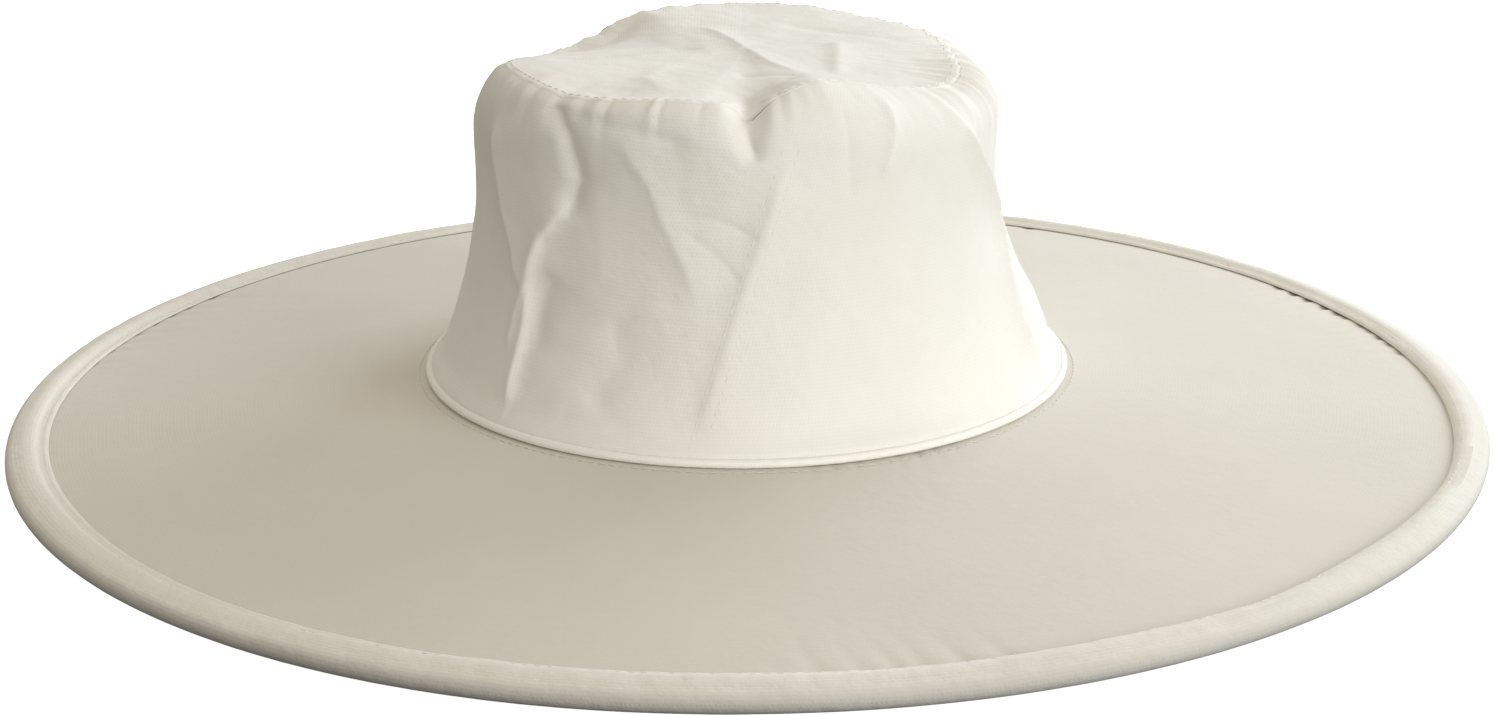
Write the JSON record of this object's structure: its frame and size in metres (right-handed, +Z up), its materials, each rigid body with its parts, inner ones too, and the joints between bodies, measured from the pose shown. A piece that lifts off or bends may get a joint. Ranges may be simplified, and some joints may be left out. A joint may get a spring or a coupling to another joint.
{
  "type": "beekeeping hat",
  "caption": "Wide-brimmed white cloth hat that a bee veil is worn over, with a sprung flat brim, piped crown seam and a soft crown that pushes flat.",
  "frame": {"origin": "on the surface that the rim rests on, under the middle of the crown", "axes": "+Z up through the crown, -Y the front, +X the wearer's left"},
  "size_m": [0.45, 0.45, 0.1116],
  "materials": {
    "crown_cloth": "soft thin plain-weave cotton, cream white, creased",
    "brim_cloth": "plain-weave cotton, cream white, stretched smooth",
    "binding_tape": "folded bias tape of the brim's own cloth",
    "piping": "corded bias piping, a little lighter than the cloth",
    "thread": "off-white sewing thread",
    "sweat_tape": "twill tape, matt",
    "seam_tape": "narrow herringbone tape, matt",
    "cord": "twisted cotton cord",
    "spring_steel": "drawn spring-steel wire",
    "ferrule": "crimped brass sleeve"
  },
  "bodies": {
    "brim": {"brim_upper": "brim_cloth", "brim_under": "brim_cloth", "rim_binding": "binding_tape", "rim_hoop": "spring_steel", "rim_ferrule": "ferrule", "rim_stitching_top": "thread", "rim_stitching_under": "thread", "base_piping": "piping", "piping_cord": "cord", "base_stitching": "thread", "sweatband": "sweat_tape", "sweatband_stitching": "thread", "side_panel_left": "crown_cloth", "side_panel_right": "crown_cloth", "front_seam_stitching": "thread", "back_seam_stitching": "thread"},
    "crown_top": {"crown_tip": "crown_cloth", "tip_seam_tape": "seam_tape", "tip_stitching": "thread"}
  },
  "joints": [
    {"name": "crown_collapse", "type": "slide", "parent": "brim", "child": "crown_top", "axis": [0, 0, -1], "range_m": [0, 0.084], "deforming": ["side_panel_left", "side_panel_right", "front_seam_stitching", "back_seam_stitching"]}
  ]
}
